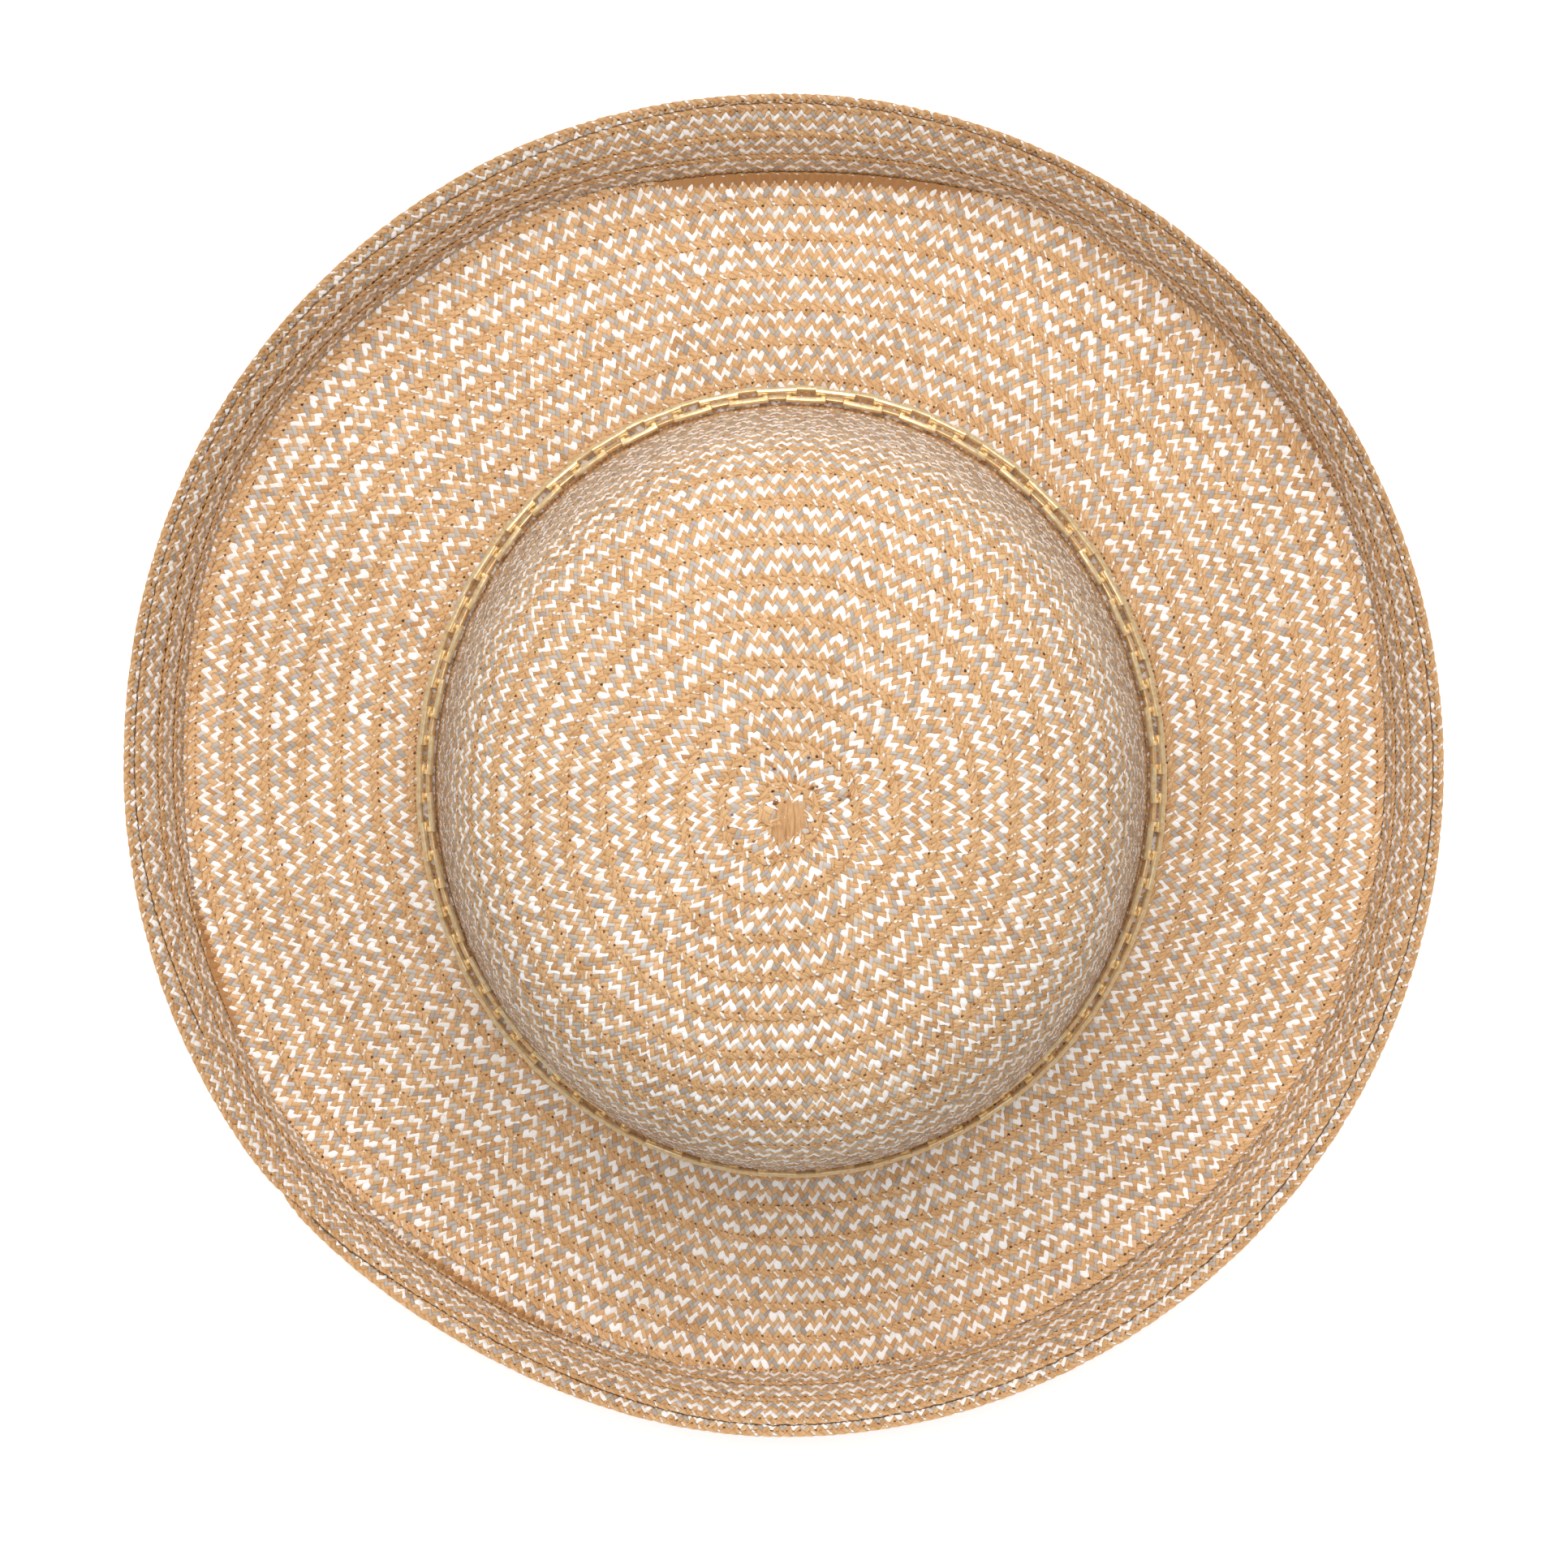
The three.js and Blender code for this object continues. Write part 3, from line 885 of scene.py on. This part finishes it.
# Braid of crown and brim, in stretches
crown_weave = Weave(crown_winding, *CROWN_TURNS, 11, True)
brim_weave = Weave(brim_winding, *BRIM_TURNS, 31, False)
crown_top = cut_piece("crown_braid_top", crown_weave, CROWN_TURNS[0], 10.0, False)
cut_piece("crown_braid_wall", crown_weave, 10.0, CROWN_TURNS[1], False)
brim_flat = cut_piece("brim_braid_flat", brim_weave, BRIM_TURNS[0], 4.6, False)
cut_piece("brim_braid_crease", brim_weave, 4.6, 8.0, False)
cut_piece("brim_braid_curl", brim_weave, 8.0, 9.6, True)
cut_piece("brim_braid_rim", brim_weave, 9.6, BRIM_TURNS[1], True)
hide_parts("crown")
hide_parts("brim")


# Sewing along the edge of every row
STITCH_ROW = 13.1
STITCH_SPACING = 3.9
TICK_SPACING = 4.7
RIM_SHADE_LINE_SPACING = 2.7


def sewing_template(length, width, height, rounded):
    """A low form lying along x, in millimetres: a bar with pointed ends, or a five-sided peak."""
    bpy.ops.object.select_all(action="DESELECT")
    if rounded:
        bpy.ops.mesh.primitive_uv_sphere_add(
            segments=4, ring_count=3, radius=0.5, rotation=(0, math.pi / 2, 0),
        )
    else:
        bpy.ops.mesh.primitive_cone_add(vertices=5, radius1=0.5, radius2=0.0, depth=1.0)
    bar = bpy.context.active_object
    bpy.ops.object.transform_apply(rotation=True)
    bpy.ops.object.mode_set(mode="EDIT")
    bpy.ops.mesh.select_all(action="SELECT")
    bpy.ops.transform.resize(value=(length, width, height))
    bpy.ops.object.mode_set(mode="OBJECT")
    points = np.array([vertex.co for vertex in bar.data.vertices])
    faces = [tuple(face.vertices) for face in bar.data.polygons]
    bpy.data.objects.remove(bar)
    return points, faces


def sew_rows(
    name, winding, turns, template, spacing, step_row, height, slant, offset, material, seed,
):
    """Copies of a small form along the edge of every row, evenly spaced."""
    rng = np.random.default_rng(seed)
    form, faces = template
    turns = np.linspace(*turns, 40000)
    spots, _ = winding.place(turns, np.full(len(turns), step_row), np.zeros(len(turns)))
    run = np.concatenate([[0], np.cumsum(np.linalg.norm(np.diff(spots, axis=0), axis=1))])
    at = np.arange(offset, run[-1] - 2, spacing)
    at = at + rng.normal(0, 0.05 * spacing, len(at))
    turned = np.radians(slant + rng.normal(0, 8, len(at)))[:, None]
    x, y, z = form[:, 0][None, :], form[:, 1][None, :], form[:, 2][None, :]
    grow = rng.uniform(0.7, 1.2, len(at))[:, None]
    along = (x * np.cos(turned) - y * np.sin(turned)) * grow
    across = (x * np.sin(turned) + y * np.cos(turned)) * grow
    turn = np.interp(at[:, None] + along, run, turns)
    points, _ = winding.place(turn, step_row + across / STEP_ACROSS, height + z + 0 * turn)
    mesh = bpy.data.meshes.new(name)
    count = len(form)
    every = [tuple(v + i * count for v in face) for i in range(len(at)) for face in faces]
    mesh.from_pydata((points.reshape(-1, 3) * MM).tolist(), [], every)
    mesh.polygons.foreach_set("use_smooth", np.ones(len(mesh.polygons), bool))
    piece = bpy.data.objects.new(name, mesh)
    bpy.context.scene.collection.objects.link(piece)
    bpy.ops.object.select_all(action="DESELECT")
    piece.select_set(True)
    bpy.context.view_layer.objects.active = piece
    bpy.ops.object.mode_set(mode="EDIT")
    bpy.ops.mesh.select_all(action="SELECT")
    bpy.ops.mesh.normals_make_consistent(inside=False)
    bpy.ops.object.mode_set(mode="OBJECT")
    finish_piece(piece, material)


thread_form = sewing_template(4.2, 0.42, 0.3, False)
hole_shade_form = sewing_template(0.85, 0.6, 0.2, False)
tick_form = sewing_template(2.6, 0.95, 0.34, True)
for sewn, winding, turns, slot in (
    ("crown", crown_winding, (-0.5, 15.2), "crown_straw"),
    ("brim", brim_winding, (0.0, 10.95), "brim_straw"),
):
    sew_rows(
        f"{sewn}_stitches", winding, turns, thread_form, STITCH_SPACING,
        STITCH_ROW, -0.1, -3, 2.0, THREAD_MATERIAL, 71,
    )
    # dark domes in the needle holes: painted shade
    sew_rows(
        f"{sewn}_needle_hole_shades", winding, turns, hole_shade_form, STITCH_SPACING,
        STITCH_ROW - 0.1, -0.05, -28, 0.0, HOLE_SHADE_MATERIAL, 72,
    )
    sew_rows(
        f"{sewn}_edge_ticks", winding, turns, tick_form, TICK_SPACING,
        14.0, -0.16, -50, 1.0, TICK_MATERIAL, 73,
    )
# A thin dark line of painted shade along the row edges next to the rim strip
sew_rows(
    "brim_rim_shade_line", brim_winding, (9.05, 10.0), sewing_template(3.6, 0.4, 0.3, False), RIM_SHADE_LINE_SPACING,
    15.2, -0.25, 0, 0.5, HOLE_SHADE_MATERIAL, 74,
)


# Start of the braid, tucked under at the tip, and brown flecks in the straw near it
TIP = (CROWN_SHIFT[0], CROWN_SHIFT[1])
START_TAB = (9.0, 14.5, 0.5)
START_TAB_PLACE = (-0.1, -4.0)

# Flecks: place from the tip and size, in millimetres
FLECKS = (
    (-4.0, 0.6, 1.3), (4.8, 4.2, 1.1), (5.9, 4.4, 0.8), (-4.2, 8.6, 0.9),
    (-1.7, 0.8, 0.6), (11.3, 1.3, 0.9), (-14.2, -2.3, 0.7), (9.2, -1.9, 0.6),
    (-9.0, -8.6, 0.7), (4.0, 11.3, 0.8), (0.8, 6.9, 0.6), (13.4, 2.1, 0.8),
)


def height_at(x, y):
    """Height of the crown's middle surface, in millimetres, above a place near the tip."""
    x, y = x - TIP[0], (y - TIP[1]) * (HEAD_HALF_WIDTH + STRAW) / (HEAD_HALF_LENGTH + STRAW)
    line = crown_winding.surface[0]
    return float(np.interp(math.hypot(x, y), line[:, 0] - TIP[0], line[:, 2]))


def add_start_tab():
    """The flat tan end of the braid, folded down over the tip."""
    bpy.ops.object.select_all(action="DESELECT")
    bpy.ops.mesh.primitive_cube_add(size=1.0)
    tab = bpy.context.active_object
    tab.name = tab.data.name = "braid_start"
    tab.scale = START_TAB
    bpy.ops.object.transform_apply(scale=True)
    bpy.ops.object.mode_set(mode="EDIT")
    bpy.ops.mesh.subdivide(number_cuts=5)
    bpy.ops.object.mode_set(mode="OBJECT")
    wide, long, thick = START_TAB
    for vertex in tab.data.vertices:
        x, y, z = vertex.co
        end = abs(y) / (long / 2)
        x = x * (1 - 0.35 * end ** 3) + 0.5 * math.sin(y * 0.4)
        crown = 1 - 0.8 * max(abs(2 * vertex.co.x / wide), end) ** 3
        left = -0.12 * vertex.co.x / wide
        x, y = x + TIP[0] + START_TAB_PLACE[0], y + TIP[1] + START_TAB_PLACE[1]
        rise = 0.62 + left - 0.5 * end ** 4 + (z * crown if z > 0 else z)
        vertex.co = (x * MM, y * MM, (height_at(x, y) + rise) * MM)
    bpy.ops.object.shade_smooth()
    finish_piece(tab, TAB_MATERIAL)


def add_flecks():
    """Small dark flecks lying in the weave round the tip."""
    rng = np.random.default_rng(9)
    flecks = []
    for x, y, size in FLECKS:
        bpy.ops.object.select_all(action="DESELECT")
        bpy.ops.mesh.primitive_ico_sphere_add(subdivisions=2, radius=0.5)
        fleck = bpy.context.active_object
        for vertex in fleck.data.vertices:
            spot = vertex.co * size * rng.uniform(0.75, 1.25)
            px, py = TIP[0] + x + spot.x, TIP[1] + y + spot.y * 0.75
            vertex.co = (px * MM, py * MM, (height_at(px, py) + 0.95 + spot.z * 0.25) * MM)
        flecks.append(fleck)
    bpy.ops.object.select_all(action="DESELECT")
    for fleck in flecks:
        fleck.select_set(True)
    bpy.context.view_layer.objects.active = flecks[0]
    bpy.ops.object.join()
    piece = bpy.context.active_object
    piece.name = piece.data.name = "straw_flecks"
    bpy.ops.object.shade_smooth()
    finish_piece(piece, FLECK_MATERIAL)


add_start_tab()
add_flecks()


# Chain of cut-corner links
def chain_link(length):
    """One link lying flat round the origin, in millimetres: a block with its middle cut out."""
    bpy.ops.object.select_all(action="DESELECT")
    bpy.ops.mesh.primitive_cube_add(size=1.0, location=(0, 0, 0))
    link = bpy.context.active_object
    link.scale = (length, LINK_WIDTH, LINK_WIRE)
    bpy.ops.object.transform_apply(scale=True)
    bpy.ops.object.mode_set(mode="EDIT")
    body = bmesh.from_edit_mesh(link.data)
    bpy.ops.mesh.select_all(action="DESELECT")
    for edge in body.edges:
        edge.select_set(abs(edge.verts[0].co.z - edge.verts[1].co.z) > LINK_WIRE / 2)
    bmesh.update_edit_mesh(link.data)
    bpy.ops.mesh.bevel(offset=LINK_CORNER, segments=2, profile=0.5)
    bpy.ops.mesh.select_all(action="DESELECT")
    bpy.ops.mesh.select_mode(type="FACE")
    body = bmesh.from_edit_mesh(link.data)
    for face in body.faces:
        face.select_set(abs(face.normal.z) > 0.9)
    bmesh.update_edit_mesh(link.data)
    bpy.ops.mesh.inset(thickness=LINK_WIRE, use_individual=True)
    bpy.ops.mesh.bridge_edge_loops()
    bpy.ops.mesh.select_all(action="DESELECT")
    bpy.ops.mesh.select_mode(type="EDGE")
    body = bmesh.from_edit_mesh(link.data)
    for edge in body.edges:
        level = abs(edge.verts[0].co.z - edge.verts[1].co.z) < 1e-4
        edge.select_set(level and edge.calc_face_angle(0) > 0.8)
    bmesh.update_edit_mesh(link.data)
    bpy.ops.mesh.bevel(offset=LINK_ROUNDING, segments=2, profile=0.5)
    bpy.ops.object.mode_set(mode="OBJECT")
    return link


def lay_chain():
    """Links round the foot of the crown, every second one turned on edge, fused where they touch."""
    half_wire, spread = LINK_WIRE / 2, (LINK_WIDTH - LINK_WIRE) / 2
    sideways = max(spread * abs(math.cos(tilt)) for tilt in LINK_TILTS) + half_wire
    upright = max(spread * abs(math.sin(tilt)) for tilt in LINK_TILTS) + half_wire
    reach = STRAW + PIECE_GAP + sideways
    round_angles = np.linspace(0, 2 * np.pi, 7201)
    oval = np.column_stack([
        CROWN_SHIFT[0] + (HEAD_HALF_WIDTH + reach) * np.cos(round_angles),
        CROWN_SHIFT[1] + (HEAD_HALF_LENGTH + reach) * np.sin(round_angles),
    ])
    run = np.concatenate([[0], np.cumsum(np.linalg.norm(np.diff(oval, axis=0), axis=1))])
    count = 2 * round(run[-1] / (LINK_LENGTH - 2 * LINK_WIRE + LINK_BITE) / 2)
    link = chain_link(run[-1] / count + 2 * LINK_WIRE - LINK_BITE)
    rng = np.random.default_rng(5)
    groups = ([], [])
    for i in range(count):
        angle = np.interp(run[-1] * i / count, run, round_angles)
        wide, long = HEAD_HALF_WIDTH + reach, HEAD_HALF_LENGTH + reach
        along = Vector((-wide * math.sin(angle), long * math.cos(angle), 0)).normalized()
        tilt = LINK_TILTS[i % 2] + math.radians(rng.uniform(-TILT_STRAY, TILT_STRAY))
        across = Vector((-along.y * math.cos(tilt), along.x * math.cos(tilt), math.sin(tilt)))
        facing = along.cross(across)
        spot = Vector((
            CROWN_SHIFT[0] + wide * math.cos(angle),
            CROWN_SHIFT[1] + long * math.sin(angle),
            SEAT_RISE + STRAW + PIECE_GAP + upright,
        ))
        turned = Matrix((along, across, facing)).transposed().to_4x4()
        copy = link.copy()
        copy.data = link.data.copy()
        copy.data.transform(Matrix.Scale(MM, 4) @ Matrix.Translation(spot) @ turned)
        bpy.context.scene.collection.objects.link(copy)
        groups[i % 2].append(copy)
    bpy.data.objects.remove(link)
    chains = []
    for group in groups:
        bpy.ops.object.select_all(action="DESELECT")
        for copy in group:
            copy.select_set(True)
        bpy.context.view_layer.objects.active = group[0]
        bpy.ops.object.join()
        chains.append(bpy.context.active_object)
    chain, other = chains
    join = chain.modifiers.new("join", "BOOLEAN")
    join.operation, join.solver, join.object = "UNION", "EXACT", other
    bpy.ops.object.select_all(action="DESELECT")
    bpy.context.view_layer.objects.active = chain
    chain.select_set(True)
    bpy.ops.object.modifier_apply(modifier="join")
    bpy.data.objects.remove(other)
    chain.name = chain.data.name = "chain_links"
    bpy.ops.object.shade_smooth_by_angle(angle=math.radians(35))
    finish_piece(chain, GOLD_MATERIAL)
    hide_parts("chain")


lay_chain()


# Floor, light and camera
def add_floor():
    bpy.ops.mesh.primitive_plane_add(size=6.0, location=(0, 0, -0.0002))
    floor = bpy.context.active_object
    floor.name = "floor"
    material, tree, shader = new_material("pale floor")
    shader.inputs["Base Color"].default_value = (0.8, 0.8, 0.8, 1)
    shader.inputs["Roughness"].default_value = 0.9
    shader.inputs["Emission Color"].default_value = (1, 1, 1, 1)
    shader.inputs["Emission Strength"].default_value = 0.5
    floor.data.materials.append(material)


def add_light(name, place, target, size, power):
    bpy.ops.object.light_add(type="AREA", location=place)
    light = bpy.context.active_object
    light.name = name
    light.data.shape = "DISK"
    light.data.size = size
    light.data.energy = power
    light.rotation_euler = (Vector(target) - Vector(place)).to_track_quat("-Z", "Y").to_euler()


add_floor()
add_light("key_light", (-0.02, 0.6, 1.1), (0, 0.05, 0.05), 1.4, 15)
add_light("fill_light", (0.0, -0.35, 1.75), (0, 0, 0.05), 1.5, 8.5)

world = bpy.data.worlds.new("studio")
world.use_nodes = True
world.node_tree.nodes["Background"].inputs[0].default_value = (1, 1, 1, 1)
world.node_tree.nodes["Background"].inputs[1].default_value = 0.31
bpy.context.scene.world = world
bpy.context.scene.view_settings.view_transform = "Standard"

bpy.ops.object.camera_add(location=(0, 0.083, 1.4), rotation=(math.radians(-3.6), 0, 0))
camera = bpy.context.active_object
camera.data.lens = 126.8
camera.data.sensor_width = 36.0
bpy.context.scene.camera = camera
